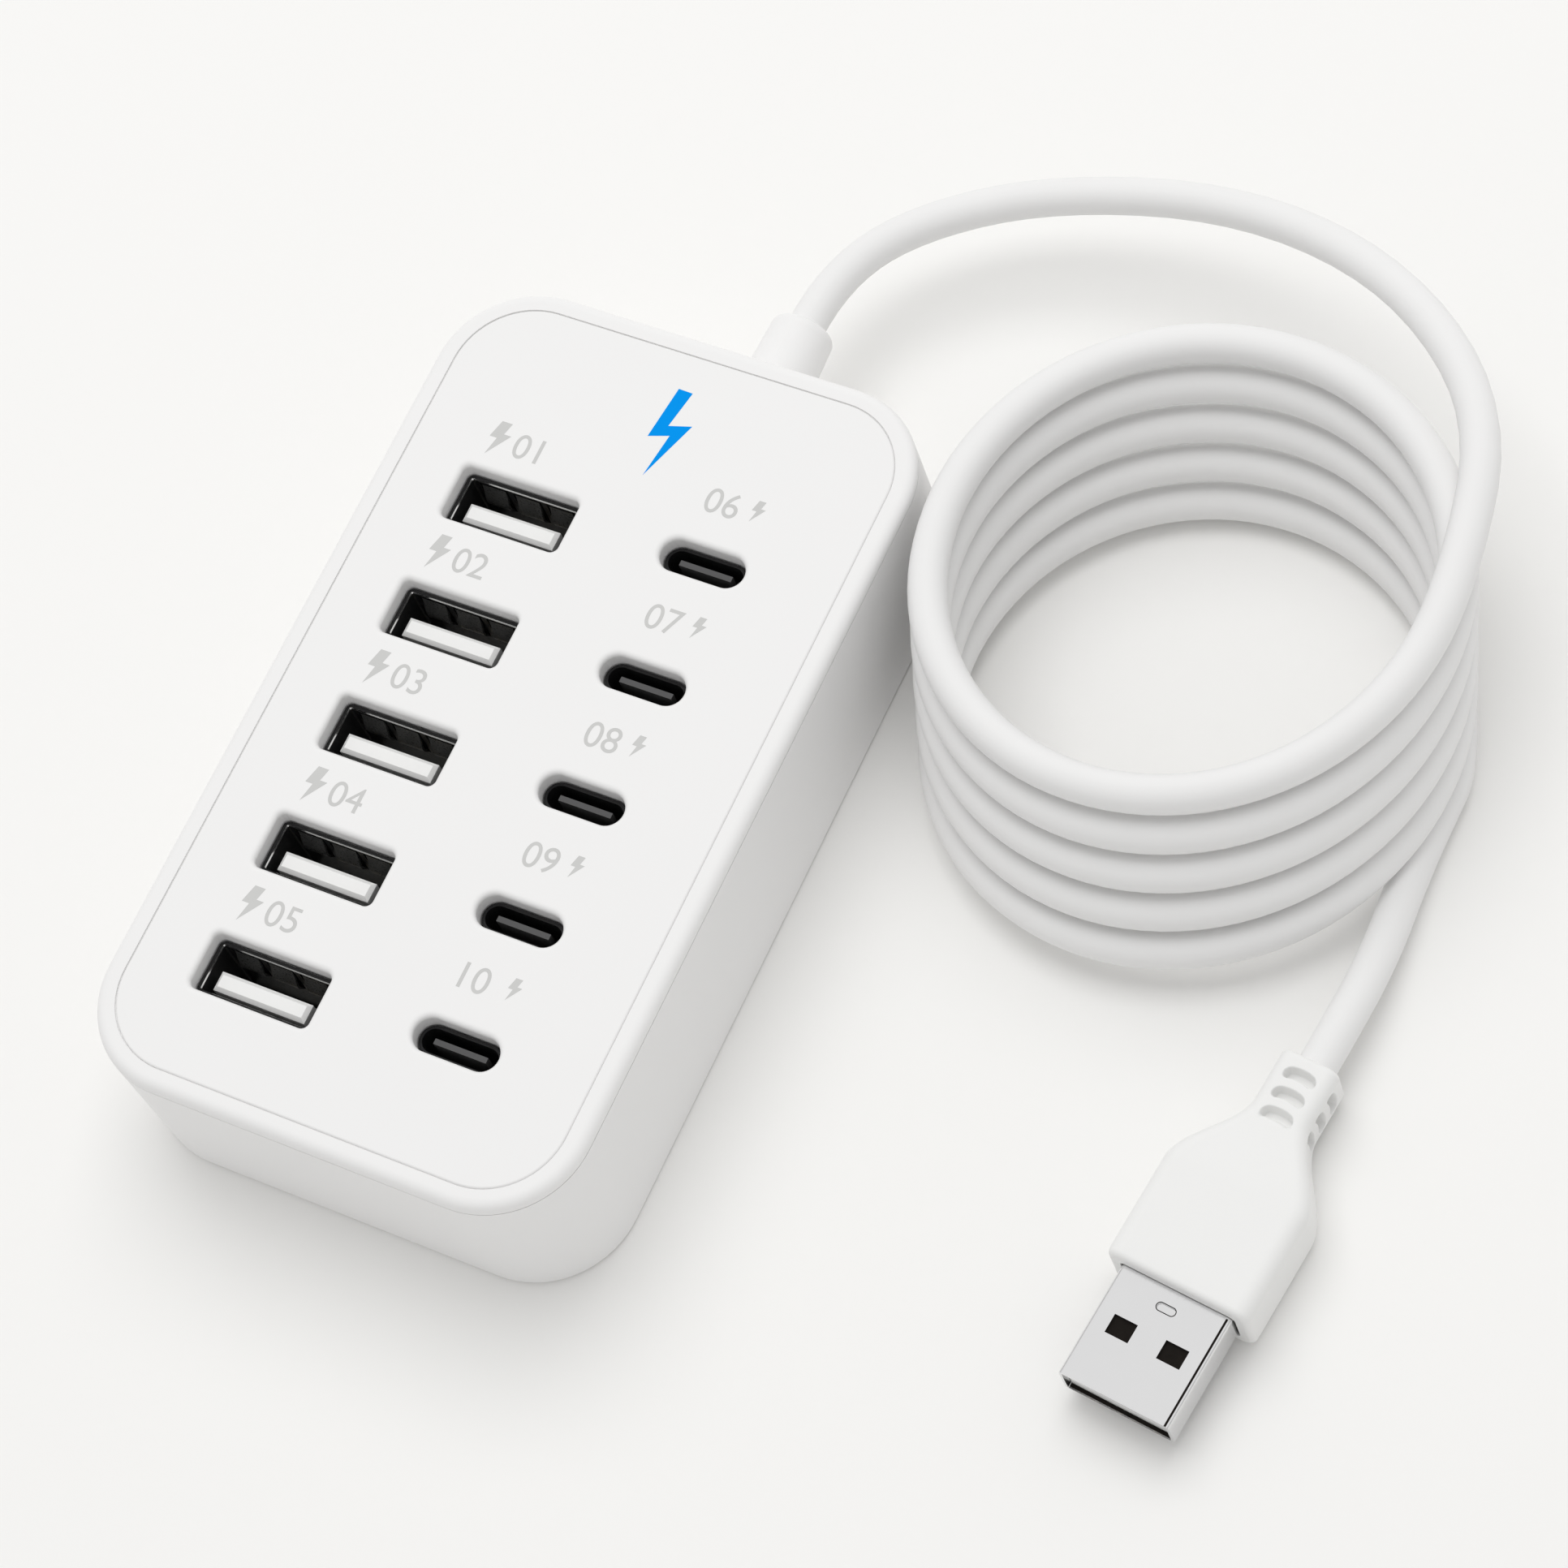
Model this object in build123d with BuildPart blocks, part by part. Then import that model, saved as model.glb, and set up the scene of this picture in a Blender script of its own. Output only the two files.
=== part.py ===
"""Desktop charger with two columns of sockets and a coiled cable that ends in a plug.

Millimetres. The housing lies flat on its base: X across it, +Y towards the cable end, +Z up,
with the origin at the middle of the base.
"""
import os
from math import cos, pi, radians, sin, tan

from build123d import *

os.makedirs("parts", exist_ok=True)

# Housing
body_width = 54.4
body_length = 93.6
body_height = 20.4
corner_radius = 10.4
wall_thickness = 2.2
floor_thickness = 1.8
base_edge_radius = 0.6
fit_gap = 0.15

# Cover and face panel
rim_drop = 1.4
rim_width = 2.1
rim_radius = 1.15
parting_gap = 0.12
cover_lip = 1.0
cover_plate = 2.0
panel_thickness = 1.4
panel_groove = 0.08
panel_edge_radius = 0.25
cutout_edge_radius = 0.6

# Sockets: two columns of rows, spread evenly between the two end rows
row_count = 5
first_row_inset = 24.2
last_row_inset = 14.2
a_column_inset = 15.75
c_column_inset = 16.9
c_row_shift = 0.9
socket_recess = 1.9
socket_gap = 0.2

# Wide socket
a_mouth_width = 12.5
a_mouth_depth = 5.12
a_shell_wall = 0.34
a_corner_radius = 0.6
a_finger_count = 3
a_finger_width = 3.3
a_finger_length = 4.4
a_finger_spacing = 3.95
a_finger_slit = 0.25
a_finger_top = 0.6
a_tongue_width = 10.5
a_tongue_thickness = 2.1
a_tongue_shift = -0.95
a_tongue_recess = 0.3
a_tongue_chamfer = 0.4
a_base_height = 3.0
a_contact_width = 1.0
a_contact_thickness = 0.2
a_contact_length = 6.5
a_contact_offsets = (-3.5, -1.0, 1.0, 3.5)

# Narrow socket
c_mouth_width = 8.34
c_mouth_depth = 2.56
c_shell_wall = 0.32
c_tongue_width = 5.9
c_tongue_thickness = 0.6
c_tongue_recess = 0.1
c_base_height = 4.0

# Circuit board and what it carries
board_height = 4.2
board_thickness = 1.6
board_gap = 0.5
screw_inset_x = 6.7
screw_inset_y = 8.8
screw_radius = 1.1
screw_head_radius = 2.2
screw_head_height = 1.3
screw_bite = 2.0
screw_gap = 0.1
boss_radius = 2.8
chip_side = 4.6
chip_height = 1.1
choke_inset = 5.2
choke_side = 6.4
choke_height = 4.0
choke_corner = 1.2
capacitor_inset = 3.8
capacitor_radius = 2.5
capacitor_height = 8.0

# Strain relief and cable
cable_x = 4.1
cable_height = 10.2
cable_diameter = 4.0
sleeve_length = 9.2
sleeve_base_radius = 3.75
sleeve_end_radius = 3.4
sleeve_edge_radius = 1.0
sleeve_neck_radius = 2.8
sleeve_barb_radius = 3.3
sleeve_barb_length = 1.6
sleeve_gap = 0.1
coil_radius = 26.0
coil_rise = 4.05
coil_turns = 5
coil_x = 58.5
coil_y = 30.0
coil_lean_x = -0.45
coil_lean_y = 2.2
coil_start_angle = 10.0
coil_start_span = 110.0
coil_end_span = 50.0
coil_end_gap = 0.4
exit_straight = 6.0
exit_bends = ((9.0, 71.0, 9.8), (21.5, 79.5, 9.5), (42.5, 83.0, 12.5), (63.0, 77.0, 18.0))
coil_lead = 18.0
tail_straight = 7.4
tail_bend = (85.1, 15.0, 2.5)
tail_lift_x = 85.2
tail_lift_y = 7.5
neck_lead = 7.4

# Plug
plug_turn = 6.3
neck_width = 6.2
neck_radius = 1.3
neck_length = 5.6
flare_length = 9.4
flare_steps = 4
grip_width = 15.4
grip_height = 8.0
grip_length = 11.0
grip_radius = 1.6
grip_edge_radius = 0.7
slot_count = 3
slot_width = 3.5
slot_length = 1.2
slot_spacing = 2.2
slot_depth = 1.0
slot_from_end = 2.0
plug_shell_width = 12.0
plug_shell_height = 4.5
plug_shell_wall = 0.32
plug_shell_radius = 0.5
plug_shell_length = 12.0
plug_shell_seat = 3.0
plug_gap = 0.05
window_width = 2.5
window_length = 2.0
window_span = 5.6
window_from_tip = 6.4
dimple_width = 2.0
dimple_length = 0.8
dimple_from_tip = 10.0
dimple_depth = 0.18
plug_tongue_height = 2.1
plug_tongue_recess = 0.6
plug_tongue_radius = 0.4
plug_contact_width = 1.1
plug_contact_length = 4.5
plug_contact_thickness = 0.15
plug_contact_offsets = (-3.5, -1.0, 1.0, 3.5)

# Levels and outlines that follow from the sizes above
parting_height = body_height - rim_drop
rim_bottom = parting_height + parting_gap
pocket_floor = body_height - panel_thickness
ledge_height = pocket_floor - cover_plate
board_top = board_height + board_thickness
socket_top = body_height - socket_recess
inner_width = body_width - 2 * wall_thickness
inner_length = body_length - 2 * wall_thickness
inner_radius = corner_radius - wall_thickness
pocket_width = body_width - 2 * rim_width
pocket_length = body_length - 2 * rim_width
pocket_radius = corner_radius - rim_width
a_shell_width = a_mouth_width + 2 * a_shell_wall
a_shell_depth = a_mouth_depth + 2 * a_shell_wall
c_shell_width = c_mouth_width + 2 * c_shell_wall
c_shell_depth = c_mouth_depth + 2 * c_shell_wall
a_column_x = a_column_inset - body_width / 2
c_column_x = body_width / 2 - c_column_inset
chip_column_x = (a_column_x + a_shell_width / 2 + c_column_x - c_shell_width / 2) / 2
first_row_y = body_length / 2 - first_row_inset
last_row_y = last_row_inset - body_length / 2
middle_row_y = (first_row_y + last_row_y) / 2
row_spacing = (first_row_y - last_row_y) / (row_count - 1)
a_places = [(a_column_x, first_row_y - row_spacing * row) for row in range(row_count)]
c_places = [(c_column_x, y + c_row_shift) for _, y in a_places]
screw_span_x = body_width - 2 * screw_inset_x
screw_span_y = body_length - 2 * screw_inset_y
choke_column_x = inner_width / 2 - choke_inset
capacitor_column_x = capacitor_inset - inner_width / 2


def write(piece, name):
    """Label a finished piece and write it as its own file."""
    piece.label = name
    export_step(piece, f"parts/{name}.step")


def socket_openings(height):
    """The openings of both socket columns, on a level plane."""
    with BuildSketch(Plane.XY.offset(height)) as openings:
        with Locations(*a_places):
            RectangleRounded(
                a_shell_width + 2 * socket_gap,
                a_shell_depth + 2 * socket_gap,
                a_corner_radius + socket_gap,
            )
        with Locations(*c_places):
            SlotOverall(c_shell_width + 2 * socket_gap, c_shell_depth + 2 * socket_gap)
    return openings.sketch


# Bottom housing: a tray with a ledge for the cover, bosses for the board and the cable hole
back_face = Plane(
    origin=(cable_x, body_length / 2, cable_height), x_dir=(1, 0, 0), z_dir=(0, 1, 0)
)
with BuildPart() as bottom_housing:
    with BuildSketch():
        RectangleRounded(body_width, body_length, corner_radius)
    extrude(amount=parting_height)
    fillet(bottom_housing.faces().sort_by(Axis.Z)[0].edges(), base_edge_radius)
    with BuildSketch(Plane.XY.offset(floor_thickness)):
        RectangleRounded(inner_width, inner_length, inner_radius)
    extrude(amount=parting_height - floor_thickness, mode=Mode.SUBTRACT)
    with BuildSketch(Plane.XY.offset(ledge_height)):
        RectangleRounded(
            body_width - 2 * cover_lip,
            body_length - 2 * cover_lip,
            corner_radius - cover_lip,
        )
    extrude(amount=parting_height - ledge_height, mode=Mode.SUBTRACT)
    with BuildSketch(Plane.XY.offset(floor_thickness)):
        with GridLocations(screw_span_x, screw_span_y, 2, 2):
            Circle(boss_radius)
    extrude(amount=board_height - floor_thickness)
    with BuildSketch(Plane.XY.offset(board_height)):
        with GridLocations(screw_span_x, screw_span_y, 2, 2):
            Circle(screw_radius + screw_gap)
    extrude(amount=-(screw_bite + screw_gap), mode=Mode.SUBTRACT)
    with BuildSketch(back_face):
        Circle(sleeve_neck_radius + sleeve_gap)
    extrude(amount=-wall_thickness, mode=Mode.SUBTRACT)
write(bottom_housing.part, "bottom_housing")

# Top cover: carrier plate on the ledge, rounded rim above the parting line, pocket for the panel
with BuildPart() as top_cover:
    with BuildSketch(Plane.XY.offset(ledge_height)):
        RectangleRounded(
            body_width - 2 * (cover_lip + fit_gap),
            body_length - 2 * (cover_lip + fit_gap),
            corner_radius - cover_lip - fit_gap,
        )
    extrude(amount=rim_bottom - ledge_height)
    with BuildSketch(Plane.XY.offset(rim_bottom)):
        RectangleRounded(body_width, body_length, corner_radius)
    extrude(amount=body_height - rim_bottom)
    fillet(top_cover.faces().sort_by(Axis.Z)[-1].edges(), rim_radius)
    with BuildSketch(Plane.XY.offset(body_height)):
        RectangleRounded(pocket_width, pocket_length, pocket_radius)
    extrude(amount=-panel_thickness, mode=Mode.SUBTRACT)
    extrude(socket_openings(pocket_floor), amount=-cover_plate, mode=Mode.SUBTRACT)
write(top_cover.part, "top_cover")

# Face panel: lies in the pocket with a fine groove all round, soft edges at every cut-out
with BuildPart() as face_panel:
    with BuildSketch(Plane.XY.offset(pocket_floor)):
        RectangleRounded(
            pocket_width - 2 * panel_groove,
            pocket_length - 2 * panel_groove,
            pocket_radius - panel_groove,
        )
    extrude(amount=panel_thickness)
    fillet(face_panel.faces().sort_by(Axis.Z)[-1].edges(), panel_edge_radius)
    extrude(socket_openings(body_height), amount=-panel_thickness, mode=Mode.SUBTRACT)
    cutout_edges = [wire.edges() for wire in face_panel.faces().sort_by(Axis.Z)[-1].inner_wires()]
    fillet(ShapeList([edge for edges in cutout_edges for edge in edges]), cutout_edge_radius)
write(face_panel.part, "face_panel")


def wide_socket_shell(x, y):
    """A rectangular tube on the board, with slit spring fingers in each long wall."""
    finger_middle = socket_top - a_finger_top - a_finger_length / 2
    with BuildPart() as shell:
        with BuildSketch(Plane((x, y, board_top))):
            RectangleRounded(a_shell_width, a_shell_depth, a_corner_radius)
            RectangleRounded(
                a_mouth_width, a_mouth_depth, a_corner_radius - a_shell_wall, mode=Mode.SUBTRACT
            )
        extrude(amount=socket_top - board_top)
        wall = Plane(
            origin=(x, y - a_shell_depth / 2, finger_middle), x_dir=(1, 0, 0), z_dir=(0, -1, 0)
        )
        with BuildSketch(wall):
            with GridLocations(a_finger_spacing, 0, a_finger_count, 1):
                Rectangle(a_finger_width, a_finger_length)
            with Locations((0, -a_finger_slit)):
                with GridLocations(a_finger_spacing, 0, a_finger_count, 1):
                    Rectangle(
                        a_finger_width - 2 * a_finger_slit, a_finger_length, mode=Mode.SUBTRACT
                    )
        extrude(amount=-a_shell_depth, mode=Mode.SUBTRACT)
    return shell.part


def wide_socket_tongue(x, y):
    """The moulded base that fills the shell's foot and the tongue that stands on it."""
    with BuildPart() as tongue:
        with BuildSketch(Plane((x, y, board_top))):
            Rectangle(a_mouth_width - 2 * socket_gap, a_mouth_depth - 2 * socket_gap)
        extrude(amount=a_base_height)
        with BuildSketch(Plane((x, y + a_tongue_shift, board_top + a_base_height))):
            Rectangle(a_tongue_width, a_tongue_thickness)
        extrude(amount=socket_top - a_tongue_recess - board_top - a_base_height)
        chamfer(tongue.faces().sort_by(Axis.Z)[-1].edges(), a_tongue_chamfer)
    return tongue.part


def wide_socket_contacts(x, y):
    """Four strips on the open side of the tongue."""
    side = Plane((x, y + a_tongue_shift + a_tongue_thickness / 2, board_top + a_base_height))
    with BuildPart() as contacts:
        with BuildSketch(side):
            with Locations(*[(offset, a_contact_thickness / 2) for offset in a_contact_offsets]):
                Rectangle(a_contact_width, a_contact_thickness)
        extrude(amount=a_contact_length)
    return contacts.part


def narrow_socket_shell(x, y):
    """A stadium-shaped tube on the board."""
    with BuildPart() as shell:
        with BuildSketch(Plane((x, y, board_top))):
            SlotOverall(c_shell_width, c_shell_depth)
            SlotOverall(c_mouth_width, c_mouth_depth, mode=Mode.SUBTRACT)
        extrude(amount=socket_top - board_top)
    return shell.part


def narrow_socket_tongue(x, y):
    """The base in the stadium's foot and the thin tongue in the middle of the mouth."""
    with BuildPart() as tongue:
        with BuildSketch(Plane((x, y, board_top))):
            SlotOverall(c_mouth_width - 2 * socket_gap, c_mouth_depth - 2 * socket_gap)
        extrude(amount=c_base_height)
        with BuildSketch(Plane((x, y, board_top + c_base_height))):
            Rectangle(c_tongue_width, c_tongue_thickness)
        extrude(amount=socket_top - c_tongue_recess - board_top - c_base_height)
    return tongue.part


for number, (x, y) in enumerate(a_places, start=1):
    write(wide_socket_shell(x, y), f"a_port_shell_{number}")
    write(wide_socket_tongue(x, y), f"a_port_tongue_{number}")
    write(wide_socket_contacts(x, y), f"a_port_contacts_{number}")
for number, (x, y) in enumerate(c_places, start=1):
    write(narrow_socket_shell(x, y), f"c_port_shell_{number}")
    write(narrow_socket_tongue(x, y), f"c_port_tongue_{number}")

# Circuit board on the bosses, with its screws
with BuildPart() as circuit_board:
    with BuildSketch(Plane.XY.offset(board_height)):
        RectangleRounded(
            inner_width - 2 * board_gap, inner_length - 2 * board_gap, inner_radius - board_gap
        )
        with GridLocations(screw_span_x, screw_span_y, 2, 2):
            Circle(screw_radius + screw_gap, mode=Mode.SUBTRACT)
    extrude(amount=board_thickness)
write(circuit_board.part, "circuit_board")

with BuildPart() as board_screws:
    with BuildSketch(Plane.XY.offset(board_top)):
        with GridLocations(screw_span_x, screw_span_y, 2, 2):
            Circle(screw_head_radius)
    extrude(amount=screw_head_height)
    with BuildSketch(Plane.XY.offset(board_height - screw_bite)):
        with GridLocations(screw_span_x, screw_span_y, 2, 2):
            Circle(screw_radius)
    extrude(amount=screw_bite + board_thickness)
write(board_screws.part, "board_screws")

# Parts that stand on the board, between the socket columns and beside the gaps in them
with BuildPart() as converter_chips:
    with BuildSketch(Plane((chip_column_x, middle_row_y, board_top))):
        with GridLocations(0, row_spacing, 1, row_count):
            Rectangle(chip_side, chip_side)
    extrude(amount=chip_height)
write(converter_chips.part, "converter_chips")

with BuildPart() as power_chokes:
    with BuildSketch(Plane((choke_column_x, middle_row_y, board_top))):
        with GridLocations(0, row_spacing, 1, row_count - 1):
            RectangleRounded(choke_side, choke_side, choke_corner)
    extrude(amount=choke_height)
write(power_chokes.part, "power_chokes")

with BuildPart() as filter_capacitors:
    with BuildSketch(Plane((capacitor_column_x, middle_row_y, board_top))):
        with GridLocations(0, row_spacing, 1, row_count - 1):
            Circle(capacitor_radius)
    extrude(amount=capacitor_height)
write(filter_capacitors.part, "filter_capacitors")

# Strain relief: a revolved sleeve with a neck through the wall and a barb inside it
sleeve_plane = Plane(
    origin=(cable_x, body_length / 2, cable_height), x_dir=(0, 1, 0), z_dir=(1, 0, 0)
)
with BuildPart() as cable_sleeve:
    with BuildSketch(sleeve_plane):
        with BuildLine():
            Polyline(
                (-wall_thickness - sleeve_barb_length, 0),
                (-wall_thickness - sleeve_barb_length, sleeve_neck_radius),
                (-wall_thickness, sleeve_barb_radius),
                (-wall_thickness, sleeve_neck_radius),
                (0, sleeve_neck_radius),
                (0, sleeve_base_radius),
                (sleeve_length, sleeve_end_radius),
                (sleeve_length, 0),
                close=True,
            )
        make_face()
    revolve(axis=Axis(sleeve_plane.origin, (0, 1, 0)))
    fillet(cable_sleeve.faces().sort_by(Axis.Y)[-1].edges(), sleeve_edge_radius)
write(cable_sleeve.part, "cable_sleeve")

# Coil: one leaning ring of the turns' outer shape, clockwise and downwards seen from above
start_level = coil_turns + coil_start_angle / 360
start_height = cable_diameter / 2 + coil_rise * start_level
ring_height = coil_rise * coil_turns
coil_lean = Vector(coil_lean_x, coil_lean_y, coil_rise)


def coil_middle(height):
    """The middle of the turns at one height, on the leaning axis."""
    level = (height - cable_diameter / 2) / coil_rise
    return Vector(coil_x, coil_y, height) + Vector(coil_lean_x, coil_lean_y, 0) * level


def coil_point(angle, height):
    """A point on the middle line of a turn."""
    reach = Vector(cos(radians(angle)), sin(radians(angle)), 0) * coil_radius
    return coil_middle(height) + reach


def sector(first_angle, span, mode=Mode.ADD):
    """A wedge that reaches past the coil, counted clockwise from its first angle."""
    far = coil_radius * 2
    angles = [radians(first_angle - span * step / 3) for step in range(4)]
    Polygon((0, 0), *[(far * cos(angle), far * sin(angle)) for angle in angles], align=None, mode=mode)


def ring():
    """The section of the stacked turns, one cable wide."""
    Circle(coil_radius + cable_diameter / 2)
    Circle(coil_radius - cable_diameter / 2, mode=Mode.SUBTRACT)


with BuildPart() as cable_coil:
    with BuildSketch(Plane(coil_middle(0))):
        ring()
    extrude(amount=coil_lean.length * ring_height / coil_rise, dir=coil_lean)
    first_turn = start_height + cable_diameter / 2 - ring_height
    with BuildSketch(Plane(coil_middle(start_height) - Vector(0, 0, start_height - ring_height))):
        ring()
        sector(coil_start_angle, coil_start_span, mode=Mode.INTERSECT)
    extrude(amount=first_turn)
    with BuildSketch(Plane(coil_middle(cable_diameter / 2) - Vector(0, 0, cable_diameter / 2))):
        sector(0, coil_end_span)
    extrude(amount=coil_rise + coil_end_gap, mode=Mode.SUBTRACT)
write(cable_coil.part, "cable_coil")


def cord_tube(route):
    """A tube along straight runs and the largest tangent arcs that the runs leave room for."""
    runs = [second - first for first, second in zip(route, route[1:])]
    turns = [first.get_angle(second) for first, second in zip(runs, runs[1:])]
    shorter = [min(first.length, second.length) for first, second in zip(runs, runs[1:])]
    radii = [0.45 * run / tan(radians(turn) / 2) for run, turn in zip(shorter, turns)]
    with BuildPart() as tube:
        with BuildLine() as path:
            FilletPolyline(*route, radius=radii)
        with BuildSketch(Plane(origin=route[0], z_dir=runs[0])):
            Circle(cable_diameter / 2)
        sweep(path=path.line)
    length = sum(edge.length for edge in path.edges())
    expected = pi * (cable_diameter / 2) ** 2 * length
    print("radii", [round(radius, 1) for radius in radii])
    print("length", round(length, 1), "volume ratio", round(tube.part.volume / expected, 4))
    return tube.part


coil_start = coil_point(coil_start_angle, start_height)
coil_end = coil_point(0, cable_diameter / 2)
coil_heading = Vector(sin(radians(coil_start_angle)), -cos(radians(coil_start_angle)), 0)
exit_route = [
    Vector(cable_x, body_length / 2 + sleeve_length, cable_height),
    Vector(cable_x, body_length / 2 + sleeve_length + exit_straight, cable_height),
    *[Vector(*bend) for bend in exit_bends],
    coil_start - coil_heading * coil_lead,
    coil_start,
]
write(cord_tube(exit_route), "cable_exit")

# Plug axis: level at half the grip's height, turned a little inwards from -Y
plug_axis = Vector(-sin(radians(plug_turn)), -cos(radians(plug_turn)), 0)
plug_across = Vector(cos(radians(plug_turn)), -sin(radians(plug_turn)), 0)
tail_lift = Vector(tail_lift_x, tail_lift_y, grip_height / 2)
neck_end = tail_lift + plug_axis * neck_lead
tail_route = [
    coil_end,
    coil_end - Vector(0, tail_straight, 0),
    Vector(*tail_bend),
    tail_lift,
    neck_end,
]
write(cord_tube(tail_route), "cable_tail")


def plug_section(along):
    """A plane across the plug, a distance along its axis from the end of the neck."""
    return Plane(origin=neck_end + plug_axis * along, x_dir=plug_across, z_dir=plug_axis)


def plug_side(along, outward, distance):
    """A plane on one side of the plug that looks outward, a distance from the axis."""
    spot = neck_end + plug_axis * along + outward * distance
    return Plane(origin=spot, x_dir=outward.cross(plug_axis), z_dir=outward)


flare_start = neck_length
grip_start = neck_length + flare_length
grip_front = grip_start + grip_length
plug_tip = grip_front + plug_shell_length
up = Vector(0, 0, 1)

# Grip: slotted neck, flared shoulders and a rounded block with the pocket for the metal shell
with BuildPart() as plug_grip:
    with BuildSketch(plug_section(0)):
        RectangleRounded(neck_width, neck_width, neck_radius)
    extrude(amount=neck_length)
    for step in range(flare_steps + 1):
        share = step / flare_steps
        swell = share * share * (3 - 2 * share)
        with BuildSketch(plug_section(flare_start + flare_length * share)):
            RectangleRounded(
                neck_width + (grip_width - neck_width) * swell,
                neck_width + (grip_height - neck_width) * swell,
                neck_radius + (grip_radius - neck_radius) * swell,
            )
    loft()
    with BuildSketch(plug_section(grip_start)):
        RectangleRounded(grip_width, grip_height, grip_radius)
    extrude(amount=grip_length)
    front = plug_grip.faces().sort_by(Axis(neck_end, plug_axis))[-1]
    fillet(front.edges(), grip_edge_radius)
    for outward in (up, -up, plug_across, -plug_across):
        slots_middle = slot_from_end + slot_spacing * (slot_count - 1) / 2
        with BuildSketch(plug_side(slots_middle, outward, neck_width / 2)):
            with GridLocations(0, slot_spacing, 1, slot_count):
                SlotOverall(slot_width, slot_length)
        extrude(amount=-slot_depth, mode=Mode.SUBTRACT)
    with BuildSketch(plug_section(grip_front)):
        RectangleRounded(
            plug_shell_width + 2 * plug_gap,
            plug_shell_height + 2 * plug_gap,
            plug_shell_radius + plug_gap,
        )
    extrude(amount=-plug_shell_seat, mode=Mode.SUBTRACT)
write(plug_grip.part, "plug_grip")

# Metal shell: a thin rectangular tube with two windows in each broad side and an oblong dimple
with BuildPart() as plug_shell:
    with BuildSketch(plug_section(grip_front - plug_shell_seat)):
        RectangleRounded(plug_shell_width, plug_shell_height, plug_shell_radius)
        RectangleRounded(
            plug_shell_width - 2 * plug_shell_wall,
            plug_shell_height - 2 * plug_shell_wall,
            plug_shell_radius - plug_shell_wall,
            mode=Mode.SUBTRACT,
        )
    extrude(amount=plug_shell_length + plug_shell_seat)
    with BuildSketch(plug_side(plug_tip - window_from_tip, up, plug_shell_height / 2)):
        with GridLocations(window_span, 0, 2, 1):
            Rectangle(window_width, window_length)
    extrude(amount=-plug_shell_height, mode=Mode.SUBTRACT)
    with BuildSketch(plug_side(plug_tip - dimple_from_tip, up, plug_shell_height / 2)):
        SlotOverall(dimple_width, dimple_length)
    extrude(amount=-dimple_depth, mode=Mode.SUBTRACT)
write(plug_shell.part, "plug_shell")

# Insert: the moulded tongue in the lower half of the shell, with four strips on top
insert_width = plug_shell_width - 2 * (plug_shell_wall + plug_gap)
insert_floor = -plug_shell_height / 2 + plug_shell_wall
insert_start = grip_front - plug_shell_seat
insert_end = plug_tip - plug_tongue_recess
with BuildPart() as plug_tongue:
    with BuildSketch(plug_section(insert_start)):
        with Locations((0, insert_floor + plug_tongue_height / 2)):
            RectangleRounded(insert_width, plug_tongue_height, plug_tongue_radius)
    extrude(amount=insert_end - insert_start)
write(plug_tongue.part, "plug_tongue")

with BuildPart() as plug_contacts:
    strip_height = insert_floor + plug_tongue_height + plug_contact_thickness / 2
    with BuildSketch(plug_section(insert_end - plug_contact_length)):
        with Locations(*[(offset, strip_height) for offset in plug_contact_offsets]):
            Rectangle(plug_contact_width, plug_contact_thickness)
    extrude(amount=plug_contact_length)
write(plug_contacts.part, "plug_contacts")
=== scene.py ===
"""Looks of a multi port desktop charger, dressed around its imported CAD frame.

Metres, in the CAD frame: X across the housing, +Y towards the cable end, +Z up.
Laid out as an add-on, and run as a script.
"""
import math

import bpy
import numpy as np
from bpy.props import FloatProperty, FloatVectorProperty, IntProperty, PointerProperty
from bpy.types import Operator, Panel, PropertyGroup
from mathutils import Matrix, Vector


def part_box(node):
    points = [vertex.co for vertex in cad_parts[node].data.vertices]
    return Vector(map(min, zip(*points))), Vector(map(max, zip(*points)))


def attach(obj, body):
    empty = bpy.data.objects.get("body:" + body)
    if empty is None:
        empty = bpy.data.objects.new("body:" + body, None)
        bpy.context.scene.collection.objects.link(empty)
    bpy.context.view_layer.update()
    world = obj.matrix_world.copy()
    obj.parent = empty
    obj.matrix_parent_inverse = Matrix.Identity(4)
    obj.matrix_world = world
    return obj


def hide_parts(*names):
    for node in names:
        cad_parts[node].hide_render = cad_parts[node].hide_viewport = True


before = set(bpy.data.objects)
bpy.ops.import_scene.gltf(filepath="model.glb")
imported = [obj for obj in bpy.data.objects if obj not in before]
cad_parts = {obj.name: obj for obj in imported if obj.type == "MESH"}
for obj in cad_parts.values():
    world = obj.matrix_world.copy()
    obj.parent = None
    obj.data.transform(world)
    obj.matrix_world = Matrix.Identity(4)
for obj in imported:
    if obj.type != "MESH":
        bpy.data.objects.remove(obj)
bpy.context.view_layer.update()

bl_info = {
    "name": "Desktop charger looks",
    "version": (1, 0, 0),
    "blender": (4, 5, 0),
    "location": "View3D > Sidebar > Charger",
    "description": "Finishes and fine pieces of a desktop charger with ten sockets and a coiled cable",
    "category": "Object",
}

MM = 0.001
ROOT = "root"
SOCKET_NUMBERS = range(1, 6)
PANEL_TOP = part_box("face_panel")[1].z
SHARP_EDGE, GRIP_SHARP_EDGE = 40.0, 75.0  # degrees


def length(name, description, default):
    """A length property in metres."""
    return FloatProperty(
        name=name, description=description, default=default, unit="LENGTH", precision=5
    )


def colour(name, description, default):
    """A colour property."""
    return FloatVectorProperty(
        name=name, description=description, default=default, subtype="COLOR", min=0.0, max=1.0
    )


def factor(name, description, default):
    """A plain number from 0 to 1."""
    return FloatProperty(
        name=name, description=description, default=default, subtype="FACTOR", min=0.0, max=1.0
    )


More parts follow.
